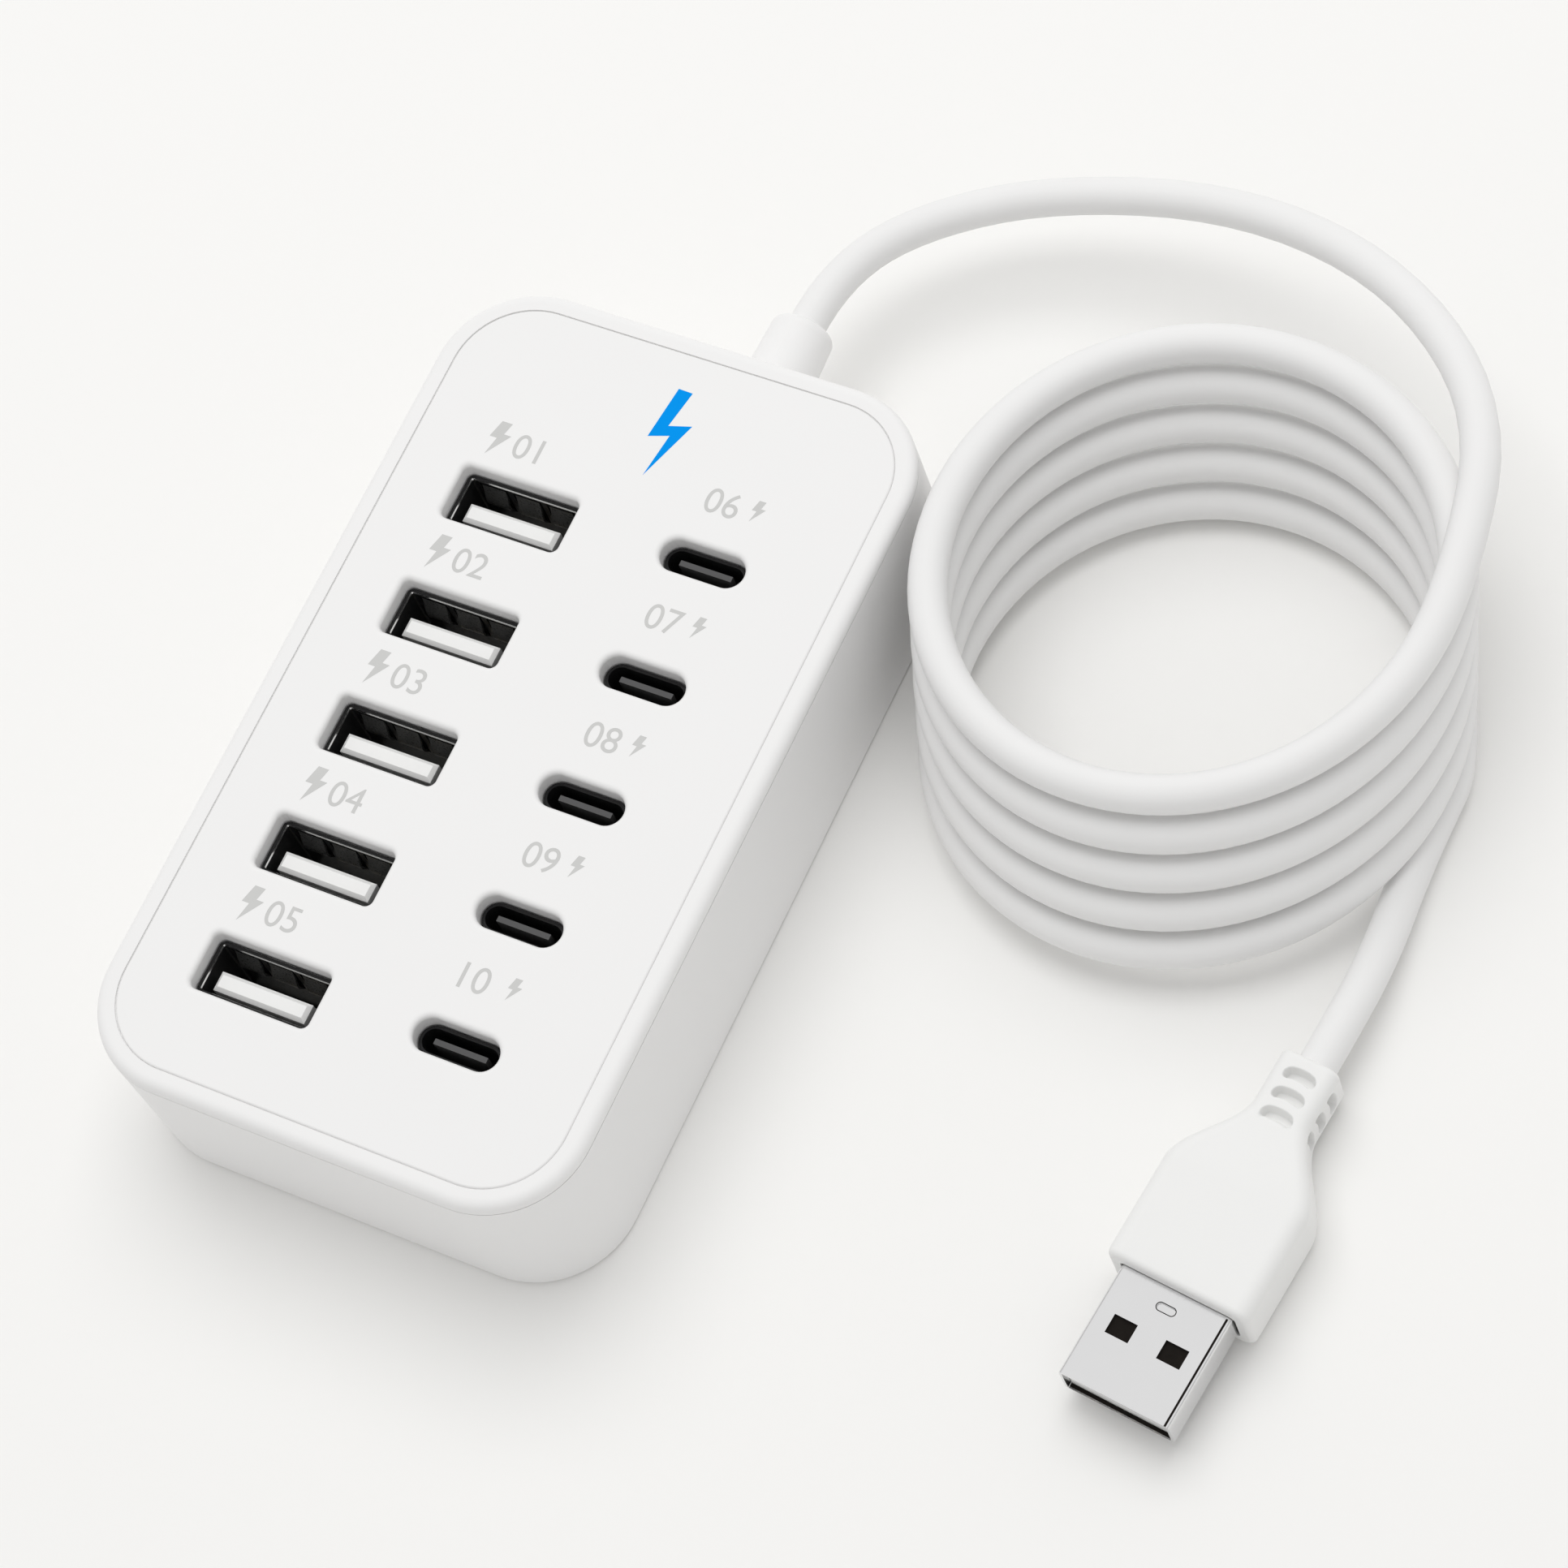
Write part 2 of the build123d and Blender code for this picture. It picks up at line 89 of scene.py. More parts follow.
def angle(name, description, default):
    """An angle property, given in degrees."""
    return FloatProperty(
        name=name, description=description, default=math.radians(default), subtype="ANGLE"
    )


def plain(name, description, default, **options):
    """A number without a range."""
    return FloatProperty(name=name, description=description, default=default, **options)


def whole(name, description, default):
    """A whole number."""
    return IntProperty(name=name, description=description, default=default)


class HousingLooks(PropertyGroup):
    """Colours of the moulded shell and its prints."""

    shell: colour("Shell", "Satin white of the housing, cover and panel", (0.87, 0.866, 0.862))
    shell_roughness: factor("Shell roughness", "How matt the moulded shell is", 0.42)
    panel_corner: length("Panel corner", "Corner radius of the panel", 8.22 * MM)
    groove: length("Groove", "Width of the groove round the panel", 0.08 * MM)
    groove_depth: length("Groove depth", "From the panel's top to the seal in the groove", 0.22 * MM)
    groove_foot: length("Groove foot", "From the panel's top to the foot of that seal", 0.6 * MM)
    ink: colour("Ink", "Pale grey of the small prints", (0.60, 0.60, 0.59))
    bolt: colour("Bolt", "Blue of the large lightning sign", (0.0, 0.295, 0.85))
    ink_lift: length("Ink lift", "How far a print stands above the panel", 0.012 * MM)
    ink_depth: length("Ink depth", "How far a print reaches into the panel", 0.04 * MM)
    figure_size: length("Figure size", "Height of the type of the port numbers", 4.0 * MM)


class SocketLooks(PropertyGroup):
    """Sizes and colours inside the sockets."""

    black: colour("Black", "Plated socket shells", (0.011, 0.011, 0.0115))
    finger: colour("Finger", "Spring fingers in the wide sockets", (0.052, 0.052, 0.051))
    edge: colour("Edge", "Bright stamped edge of the wide mouths", (0.86, 0.86, 0.85))
    tongue: colour("Tongue", "White moulded tongue", (0.86, 0.86, 0.85))
    narrow_tongue: colour("Narrow tongue", "Grey tongue of the narrow sockets", (0.08, 0.08, 0.081))
    shell_wall: length("Shell wall", "Sheet thickness of the wide shell", 0.34 * MM)
    shell_corner: length("Shell corner", "Corner radius of the wide shell", 0.6 * MM)
    facet_width: length("Facet width", "How far the bright facet reaches into the mouth", 0.08 * MM)
    facet_height: length("Facet height", "How far the bright facet reaches down the wall", 0.17 * MM)
    finger_width: length("Finger width", "Width of one spring finger", 2.75 * MM)
    finger_spacing: length("Finger spacing", "Between the middles of two fingers", 3.95 * MM)
    finger_length: length("Finger length", "Length of one spring finger", 4.1 * MM)
    finger_drop: length("Finger drop", "From the mouth to the finger's end", 0.88 * MM)
    finger_bulge: length("Finger bulge", "How far a finger bows into the mouth", 0.5 * MM)
    finger_sheet: length("Finger sheet", "Sheet thickness of a finger", 0.26 * MM)


class CableLooks(PropertyGroup):
    """Size and colour of the cable and its coil."""

    white: colour("White", "Matt white cable jacket", (0.85, 0.847, 0.843))
    diameter: length("Diameter", "Outer diameter of the cable", 4.0 * MM)
    coil_radius: length("Coil radius", "Radius of the turns at the cable's middle", 26.0 * MM)
    coil_rise: length("Coil rise", "From one turn to the next", 4.05 * MM)
    coil_turns: whole("Coil turns", "Whole turns of the coil", 5)
    turn_points: whole("Turn points", "Curve points per turn", 15)
    settle: plain("Settle", "How early in a turn the cable comes down on the one below", 2.0)


class PlugLooks(PropertyGroup):
    """Sizes and colours of the plug on the cable's end."""

    white: colour("White", "Over-moulded grip", (0.86, 0.86, 0.85))
    metal: colour("Metal", "Bright plated shell", (0.77, 0.77, 0.775))
    # Painted shade: this near-black stands in for the shade behind the shell's windows, in its mouth,
    # in the gap round it, along its seam and round its dimple.
    dark: colour("Dark", "Liner behind the windows and the folded seam", (0.010, 0.008, 0.0065))
    turn: angle("Turn", "How far the plug points inwards from -Y", 6.3)
    neck_width: length("Neck width", "Side of the square neck", 6.2 * MM)
    neck_corner: length("Neck corner", "Corner radius of the neck", 1.3 * MM)
    neck_length: length("Neck length", "Straight part of the neck", 5.6 * MM)
    flare_length: length("Flare length", "Shoulders between neck and block", 9.4 * MM)
    block_width: length("Block width", "Width of the block", 15.4 * MM)
    block_height: length("Block height", "Height of the block", 8.0 * MM)
    block_length: length("Block length", "Length of the block", 11.0 * MM)
    block_corner: length("Block corner", "Corner radius along the block", 1.6 * MM)
    front_edge: length("Front edge", "Edge radius of the block's front", 0.7 * MM)
    rear_edge: length("Rear edge", "Edge radius of the neck's end", 0.5 * MM)
    slot_width: length("Slot width", "Across the neck", 3.5 * MM)
    slot_length: length("Slot length", "Along the neck", 1.3 * MM)
    slot_spacing: length("Slot spacing", "Between the middles of two slots", 2.2 * MM)
    slot_start: length("Slot start", "From the neck's end to the first slot", 2.0 * MM)
    slot_depth: length("Slot depth", "Depth of a slot", 1.25 * MM)
    slot_bow: length("Slot bow", "How far a slot bends along the neck", -0.4 * MM)
    slot_edge: length("Slot edge", "Width of a slot's soft edge", 0.3 * MM)
    shell_width: length("Shell width", "Opening for the metal shell", 12.5 * MM)
    shell_height: length("Shell height", "Opening for the metal shell", 5.0 * MM)
    shell_corner: length("Shell corner", "Corner radius of that opening", 0.75 * MM)
    shell_seat: length("Shell seat", "Depth of that opening", 3.0 * MM)


class BoardLooks(PropertyGroup):
    """Colours of the parts inside the housing."""

    mask: colour("Mask", "Solder mask of the board", (0.02, 0.16, 0.07))
    chip: colour("Chip", "Moulded chips", (0.02, 0.02, 0.022))
    choke: colour("Choke", "Pressed iron powder chokes", (0.16, 0.16, 0.165))
    can: colour("Can", "Aluminium capacitor cans", (0.72, 0.73, 0.75))
    steel: colour("Steel", "Board screws", (0.62, 0.62, 0.63))
    brass: colour("Brass", "Gilded contacts", (0.85, 0.68, 0.36))


class StageLooks(PropertyGroup):
    """Floor, light and camera."""

    floor: colour("Floor", "Pale floor", (0.925, 0.92, 0.905))
    floor_side: length("Floor side", "Side of the floor", 6.0)
    floor_gap: length("Floor gap", "Hair's breadth between the floor and the charger", 0.02 * MM)
    fill: plain("Fill", "Strength of the even light", 0.63)
    backdrop: plain("Backdrop", "What cameras and gloss see round about", 0.93)
    horizon: plain("Horizon", "What gloss sees near the horizon", 0.42)
    key_power: plain("Key power", "Power of the soft box", 11.2, unit="POWER")
    key_side: length("Key side", "Side of the soft box", 1.3)
    key_distance: length("Key distance", "From the object to the soft box", 1.5)
    key_heading: angle("Key heading", "Compass direction of the soft box from +X", 115.0)
    key_height: angle("Key height", "Elevation of the soft box", 68.0)
    camera_heading: angle("Camera heading", "Compass direction of the camera from +X", -40.945)
    camera_height: angle("Camera height", "Elevation of the camera", 61.322)
    camera_roll: angle("Camera roll", "Turn of the picture about the view", 26.274)
    camera_distance: length("Camera distance", "From the aim to the camera", 495.5 * MM)
    camera_aim: FloatVectorProperty(
        name="Camera aim",
        description="Point at the middle of the picture",
        default=(24.6 * MM, 7.9 * MM, 10.0 * MM),
        subtype="TRANSLATION",
        unit="LENGTH",
    )
    lens: plain("Lens", "Focal length in mm on a 36 mm sensor", 114.7)


# Surfaces


def grid_faces(rows, columns, ring=True, tube=False):
    """Quads between neighbouring rows of a grid of points.

    ring joins the last column to the first, tube joins the last row to the first.
    """
    row = np.arange(rows if tube else rows - 1)
    column = np.arange(columns if ring else columns - 1)
    row, column = [part.ravel() for part in np.meshgrid(row, column, indexing="ij")]
    next_row = (row + 1) % rows
    next_column = (column + 1) % columns
    corners = [(row, column), (row, next_column), (next_row, next_column), (next_row, column)]
    return np.stack([r * columns + c for r, c in corners], axis=1).tolist()


def rounded_outline(width, depth, radius, corner_steps=10, side_steps=1):
    """Points and outward normals of a rounded rectangle, counter-clockwise from the +X side.

    Each corner is a quarter circle about its own middle, followed by an even division of the
    straight side to the next corner.
    """
    turn = np.linspace(0.0, math.pi / 2, corner_steps + 1)
    quarters = np.arange(4)[:, None] * math.pi / 2
    headings = quarters + turn
    normals = np.stack([np.cos(headings), np.sin(headings)], axis=2)
    signs = np.array([(1, 1), (-1, 1), (-1, -1), (1, -1)])
    middles = signs * (width / 2 - radius, depth / 2 - radius)
    corners = middles[:, None] + radius * normals
    share = (np.arange(1, side_steps) / side_steps)[None, :, None]
    ends = corners[:, -1:]
    starts = np.roll(corners, -1, axis=0)[:, :1]
    sides = ends + (starts - ends) * share
    side_normals = np.repeat(normals[:, -1:], side_steps - 1, axis=1)
    points = np.concatenate([corners, sides], axis=1).reshape(-1, 2)
    return points, np.concatenate([normals, side_normals], axis=1).reshape(-1, 2)


def carried_profile(outline, normals, profile):
    """A profile carried along an outline.

    Each profile point (inset, height) moves the outline inwards along its own normals by the
    inset and lifts it to the height, which gives one row of the surface.
    """
    profile = np.asarray(profile)
    rows = np.empty((len(profile), len(outline), 3))
    rows[..., :2] = outline - profile[:, :1, None] * normals
    rows[..., 2] = profile[:, 1:]
    return rows


def add_piece(name, points, faces, material, smooth=True, sharp=SHARP_EDGE):
    """A mesh piece at the origin that rides on the charger and has one finish.

    A smooth piece keeps an edge where its faces meet at more than the sharp angle.
    """
    mesh = bpy.data.meshes.new(name)
    mesh.from_pydata(np.asarray(points).reshape(-1, 3).tolist(), [], faces)
    mesh.polygons.foreach_set("use_smooth", np.full(len(mesh.polygons), smooth))
    if smooth:
        mesh.set_sharp_from_angle(angle=math.radians(sharp))
    mesh.materials.append(material)
    mesh.validate()
    mesh.update()
    piece = bpy.data.objects.new(name, mesh)
    bpy.context.scene.collection.objects.link(piece)
    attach(piece, ROOT)
    return piece


def dress(material, *names):
    """Put a finish on CAD nodes."""
    for name in names:
        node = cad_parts[name]
        for slot in node.material_slots:
            slot.material = material


def numbered(*stems):
    """The names of the five like nodes of each stem."""
    return [f"{stem}_{number}" for stem in stems for number in SOCKET_NUMBERS]


# Finishes

NOISE_LOW, NOISE_HIGH = 0.33, 0.67
MOTTLE_DETAIL = 3.0


def add_node(nodes, kind, **inputs):
    """A shader node with some of its inputs set."""
    node = nodes.new(kind)
    for name, value in inputs.items():
        node.inputs[name.replace("_", " ")].default_value = value
    return node


def noise(tree, size, detail=2.0, stretch=(1.0, 1.0, 1.0), turn=0.0):
    """Noise on object coordinates, with features of a size in metres, stretched along the axes."""
    nodes, links = tree.nodes, tree.links
    place = nodes.new("ShaderNodeTexCoord")
    mapping = add_node(nodes, "ShaderNodeMapping", Rotation=(0.0, 0.0, turn), Scale=stretch)
    texture = add_node(nodes, "ShaderNodeTexNoise", Scale=1.0 / size, Detail=detail)
    links.new(place.outputs["Object"], mapping.inputs["Vector"])
    links.new(mapping.outputs["Vector"], texture.inputs["Vector"])
    return texture.outputs["Fac"]


def spread(tree, value, low, high):
    """Noise between a third and two thirds spread over a range."""
    node = add_node(
        tree.nodes,
        "ShaderNodeMapRange",
        From_Min=NOISE_LOW,
        From_Max=NOISE_HIGH,
        To_Min=low,
        To_Max=high,
    )
    tree.links.new(value, node.inputs["Value"])
    return node.outputs["Result"]


def tint(tree, value, shade, variation):
    """A shade that noise makes a little darker and lighter."""
    mix = tree.nodes.new("ShaderNodeMix")
    mix.data_type = "RGBA"
    colours = [socket for socket in mix.inputs if socket.type == "RGBA"]
    for socket, change in zip(colours, (1.0 - variation, 1.0 + variation)):
        socket.default_value = (*[min(1.0, channel * change) for channel in shade], 1.0)
    tree.links.new(value, mix.inputs["Factor"])
    return next(socket for socket in mix.outputs if socket.type == "RGBA")


def finish(
    name,
    shade,
    roughness,
    grain,
    grain_height,
    mottle=4.0 * MM,
    variation=0.015,
    roughness_change=0.05,
    stretch=(1.0, 1.0, 1.0),
    turn=0.0,
    **sockets,
):
    """A surface with a fine grain in its relief and a broad mottle in its colour and gloss.

    The grain is noise of one size that lifts the surface by a height. The mottle is noise of
    a larger size that shifts colour and roughness about their middle values.
    """
    material = bpy.data.materials.new(name)
    material.use_nodes = True
    tree = material.node_tree
    shader = tree.nodes["Principled BSDF"]
    for socket, value in sockets.items():
        shader.inputs[socket.replace("_", " ")].default_value = value
    broad = noise(tree, mottle, detail=MOTTLE_DETAIL)
    fine = noise(tree, grain, stretch=stretch, turn=turn)
    tree.links.new(tint(tree, broad, shade, variation), shader.inputs["Base Color"])
    low, high = roughness - roughness_change, roughness + roughness_change
    tree.links.new(spread(tree, fine, low, high), shader.inputs["Roughness"])
    bump = add_node(tree.nodes, "ShaderNodeBump", Strength=1.0, Distance=grain_height)
    tree.links.new(fine, bump.inputs["Height"])
    tree.links.new(bump.outputs["Normal"], shader.inputs["Normal"])
    return material


def gilding(name, shade):
    """The gilded finish of contact strips."""
    return finish(
        name,
        shade,
        roughness=0.25,
        grain=0.2 * MM,
        grain_height=0.002 * MM,
        variation=0.05,
        Metallic=1.0,
    )


# Housing

PANEL_CORNER_STEPS = 24


class CHARGER_OT_housing(Operator):
    """Give the moulded housing, cover, panel and strain relief their satin white"""

    bl_idname = "charger.housing"
    bl_label = "Housing"

    def execute(self, context):
        looks = context.scene.charger_housing
        satin = finish(
            "satin_white_plastic",
            looks.shell,
            looks.shell_roughness,
            grain=0.18 * MM,
            grain_height=0.004 * MM,
            mottle=9.0 * MM,
            variation=0.006,
            Specular_IOR_Level=0.35,
        )
        dress(satin, "bottom_housing", "top_cover", "face_panel", "cable_sleeve")
        low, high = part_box("face_panel")
        width, depth = high.x - low.x, high.y - low.y
        outline, normals = rounded_outline(width, depth, looks.panel_corner, PANEL_CORNER_STEPS)
        foot, top = high.z - looks.groove_foot, high.z - looks.groove_depth
        profile = [(0.0, foot), (-looks.groove, foot), (-looks.groove, top), (0.0, top)]
        points = carried_profile(outline, normals, profile)
        faces = grid_faces(*points.shape[:2], tube=True)
        add_piece("panel_seal", points, faces, satin)
        return {"FINISHED"}


# Sockets

FACET_LIFT = 0.004 * MM
FACET_CORNER_STEPS = 8
FINGER_ROWS = 25
FINGER_CREST = 1.8


def mouth_facet(looks, middle, size, top):
    """A bright facet carried along the inner edge of a socket's mouth.

    Its section is a triangle on the wall's inner face, and the path is the shell's outline
    moved inwards by the wall.
    """
    outline, normals = rounded_outline(size.x, size.y, looks.shell_corner, FACET_CORNER_STEPS)
    wall, lift = looks.shell_wall, FACET_LIFT
    profile = [
        (wall - lift, top + lift),
        (wall + looks.facet_width, top - looks.facet_height),
        (wall - lift, top - looks.facet_height),
    ]
    points = carried_profile(outline, normals, profile)
    points[..., :2] += (middle.x, middle.y)
    return points, grid_faces(*points.shape[:2], tube=True)


def spring_finger(looks, middle_x, wall_y, side, top):
    """A sheet strip that bows from the wall into the mouth.

    Down its length the strip leaves the wall by half a sine wave whose crest is drawn towards
    the foot, and its section is a flat rectangle with the sheet's thickness.
    """
    along = np.linspace(0.0, 1.0, FINGER_ROWS)
    bow = looks.finger_bulge * np.sin(math.pi * along**FINGER_CREST)
    half = looks.finger_width / 2
    across = np.array([-half, half, half, -half])
    inward = np.array([0.0, 0.0, 1.0, 1.0]) * looks.finger_sheet
    points = np.empty((len(along), 4, 3))
    points[..., 0] = middle_x + side * across
    points[..., 1] = wall_y - side * (bow[:, None] + inward - looks.finger_sheet)
    points[..., 2] = (top - looks.finger_drop - looks.finger_length * along)[:, None]
    faces = grid_faces(len(along), 4)
    last = (len(along) - 1) * 4
    faces += [[3, 2, 1, 0], [last, last + 1, last + 2, last + 3]]
    return points.reshape(-1, 3), faces


def joined(parts):
    """Several sets of points and faces as one."""
    points, faces, count = [], [], 0
    for part_points, part_faces in parts:
        part_points = np.asarray(part_points).reshape(-1, 3)
        points.append(part_points)
        faces += [[corner + count for corner in face] for face in part_faces]
        count += len(part_points)
    return np.concatenate(points), faces


class CHARGER_OT_wide_sockets(Operator):
    """Dress the wide sockets and add their bright edges and spring fingers"""

    bl_idname = "charger.wide_sockets"
    bl_label = "Wide sockets"

    def execute(self, context):
        looks = context.scene.charger_sockets
        black = finish(
            "black_plated_steel",
            looks.black,
            roughness=0.34,
            grain=0.3 * MM,
            grain_height=0.004 * MM,
            variation=0.15,
            Specular_IOR_Level=0.25,
        )
        dark = finish(
            "dark_spring_steel",
            looks.finger,
            roughness=0.3,
            grain=0.25 * MM,
            grain_height=0.004 * MM,
            variation=0.12,
            Specular_IOR_Level=0.3,
        )
        bright = finish(
            "bright_stamped_edge",
            looks.edge,
            roughness=0.2,
            grain=0.2 * MM,
            grain_height=0.002 * MM,
            variation=0.04,
            Metallic=1.0,
        )
        white = finish(
            "white_moulded_tongue",
            looks.tongue,
            roughness=0.38,
            grain=0.2 * MM,
            grain_height=0.003 * MM,
            variation=0.01,
            Specular_IOR_Level=0.4,
        )
        gilt = gilding("gilded_contact", context.scene.charger_board.brass)
        dress(black, *numbered("a_port_shell", "c_port_shell"))
        dress(white, *numbered("a_port_tongue"))
        dress(gilt, *numbered("a_port_contacts"))
        for number in SOCKET_NUMBERS:
            low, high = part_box(f"a_port_shell_{number}")
            middle, size, top = (low + high) / 2, high - low, high.z
            points, faces = mouth_facet(looks, middle, size, top)
            add_piece(f"a_port_edge_{number}", points, faces, bright)
            reach = size.y / 2 - looks.shell_wall
            fingers = [
                spring_finger(
                    looks, middle.x + place * looks.finger_spacing, middle.y + side * reach, side, top
                )
                for side in (-1, 1)
                for place in (-1, 0, 1)
            ]
            points, faces = joined(fingers)
            add_piece(f"a_port_fingers_{number}", points, faces, dark)
        return {"FINISHED"}


class CHARGER_OT_narrow_sockets(Operator):
    """Dress the tongues of the narrow sockets"""

    bl_idname = "charger.narrow_sockets"
    bl_label = "Narrow sockets"

    def execute(self, context):
        looks = context.scene.charger_sockets
        grey = finish(
            "grey_moulded_tongue",
            looks.narrow_tongue,
            roughness=0.4,
            grain=0.2 * MM,
            grain_height=0.003 * MM,
            variation=0.05,
            Specular_IOR_Level=0.4,
        )
        dress(grey, *numbered("c_port_tongue"))
        return {"FINISHED"}


# Board

# Node, finish and its colour, then roughness, grain and its height in millimetres, how much the
# colour varies, and how metallic the finish is.
BOARD_FINISHES = (
    ("circuit_board", "green_solder_mask", "mask", 0.35, 0.5, 0.006, 0.08, 0.0),
    ("converter_chips", "black_epoxy", "chip", 0.5, 0.15, 0.006, 0.1, 0.0),
    ("power_chokes", "pressed_iron", "choke", 0.55, 0.2, 0.01, 0.12, 0.0),
    ("filter_capacitors", "drawn_can", "can", 0.3, 0.2, 0.003, 0.04, 1.0),
    ("board_screws", "zinc_steel", "steel", 0.32, 0.2, 0.003, 0.05, 1.0),
)


class CHARGER_OT_board(Operator):
    """Dress the circuit board and the parts on it"""

    bl_idname = "charger.board"
    bl_label = "Circuit board"

    def execute(self, context):
        looks = context.scene.charger_board
        for node, name, shade, roughness, grain, grain_height, variation, metallic in BOARD_FINISHES:
            surface = finish(
                name,
                getattr(looks, shade),
                roughness,
                grain=grain * MM,
                grain_height=grain_height * MM,
                variation=variation,
                Metallic=metallic,
            )
            dress(surface, node)
        return {"FINISHED"}


# Prints on the panel

LARGE_BOLT = (
    (-0.69, 40.66), (-1.37, 34.68), (0.81, 35.41), (0.16, 30.45),
    (2.59, 37.12), (0.17, 36.41), (0.94, 40.61),
)
SMALL_BOLT = (
    (-0.60, 2.0), (-1.15, 0.05), (-0.30, 0.05), (-0.75, -2.0),
    (1.10, 0.65), (0.24, 0.65), (0.60, 2.0),
)
# Socket, print, what is added to the socket's number, place of the figures, and place and size
# of the small bolt. Places are in millimetres from the socket's middle.
PRINT_COLUMNS = (
    ("a_port_shell", "wide_print", 0, (-2.75, 5.3), (-4.6, 6.75), 1.0),
    ("c_port_shell", "narrow_print", len(SOCKET_NUMBERS), (-2.7, 5.3), (3.05, 6.95), 0.62),
)


def sign(outline, place, scale, levels):
    """A flat sign: its outline in millimetres, scaled, moved to a place, between two levels."""
    flat = np.asarray(outline) * MM * scale + place
    count = len(flat)
    points = np.concatenate([np.insert(flat, 2, level, axis=1) for level in levels])
    faces = grid_faces(2, count)
    faces += [list(range(count))[::-1], list(range(count, 2 * count))]
    return points, faces


def figures(text, size, place, levels):
    """Plain figures between two levels, with their lower left corner at a place."""
    low, high = levels
    curve = bpy.data.curves.new("figures", "FONT")
    curve.body = text
    curve.size = size
    curve.extrude = (high - low) / 2
    letters = bpy.data.objects.new("figures", curve)
    bpy.context.scene.collection.objects.link(letters)
    bpy.context.view_layer.update()
    mesh = bpy.data.meshes.new_from_object(letters)
    points = np.empty(len(mesh.vertices) * 3)
    mesh.vertices.foreach_get("co", points)
    faces = [list(face.vertices) for face in mesh.polygons]
    bpy.data.objects.remove(letters)
    bpy.data.curves.remove(curve)
    bpy.data.meshes.remove(mesh)
    points = points.reshape(-1, 3)
    points[:, :2] += np.asarray(place) - (points[:, 0].min(), points[:, 1].min())
    points[:, 2] += (low + high) / 2
    return points, faces


def ink_finish(name, shade, gloss):
    """A flat printed ink."""
    return finish(
        name,
        shade,
        roughness=0.5,
        grain=0.1 * MM,
        grain_height=0.002 * MM,
        variation=0.03,
        Specular_IOR_Level=gloss,
    )


class CHARGER_OT_prints(Operator):
    """Print the blue lightning sign and the grey signs and numbers of the sockets"""

    bl_idname = "charger.prints"
    bl_label = "Prints"

    def execute(self, context):
        looks = context.scene.charger_housing
        levels = (PANEL_TOP - looks.ink_depth, PANEL_TOP + looks.ink_lift)
        ink = ink_finish("grey_ink", looks.ink, gloss=0.2)
        blue = ink_finish("blue_ink", looks.bolt, gloss=0.05)
        points, faces = sign(LARGE_BOLT, (0.0, 0.0), 1.0, levels)
        add_piece("lightning_sign", points, faces, blue, smooth=False)
        for number in SOCKET_NUMBERS:
            for socket, name, more, figure_place, bolt_place, bolt_size in PRINT_COLUMNS:
                low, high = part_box(f"{socket}_{number}")
                middle = np.array((low + high) / 2)[:2]
                text = f"{number + more:02d}"
                parts = [
                    sign(SMALL_BOLT, middle + np.array(bolt_place) * MM, bolt_size, levels),
                    figures(text, looks.figure_size, middle + np.array(figure_place) * MM, levels),
                ]
                points, faces = joined(parts)
                add_piece(f"{name}_{number}", points, faces, ink, smooth=False)
        return {"FINISHED"}


# Cable

# Places are in millimetres. The lean is per turn, and the start in degrees.
EXIT_ROUTE = (
    (4.1, 55.6, 10.2),
    (4.1, 62.0, 10.2),
    (9.0, 71.0, 9.8),
    (21.5, 79.5, 9.5),
    (42.5, 83.0, 12.5),
    (63.0, 77.0, 18.0),
    (78.717, 63.303, 22.25),
)
TAIL_ROUTE = (
    (84.5, 30.0, 2.0),
    (84.5, 22.6, 2.0),
    (85.1, 15.0, 2.5),
    (85.2, 7.5, 4.0),
    (84.388, 0.145, 4.0),
)
COIL_MIDDLE = (58.5, 30.0)
COIL_LEAN = (-0.45, 2.2)
COIL_START = 10.0
ROUND_STEPS, LONG_STEPS = 6, 6


def coil_turns(looks):
    """Control points of the turns, clockwise and downwards from the coil's start.

    A point stands at an even division of the turn on a circle drawn a little large, because
    the curve touches the middles of its straight control lines. The level falls from turn to
    turn by a power of the share of the turn that is left, so that the cable soon lies on what
    is under it, and the middle of the circle leans with the level.
    """
    start = math.radians(COIL_START)
    step = math.tau / looks.turn_points
    # Ends a quarter of a step early, clear of the tail's first point.
    swept = np.arange(0.0, looks.coil_turns * math.tau + start - step / 4, step)
    headings = start - swept
    left = looks.coil_turns + headings / math.tau
    level = np.floor(left) + np.mod(left, 1.0) ** looks.settle
    radius = looks.coil_radius / math.cos(step / 2)
    middle = (np.array(COIL_MIDDLE) + level[:, None] * np.array(COIL_LEAN)) * MM
    flat = middle + radius * np.stack([np.cos(headings), np.sin(headings)], axis=1)
    height = looks.diameter / 2 + looks.coil_rise * level
    return np.concatenate([flat, height[:, None]], axis=1)


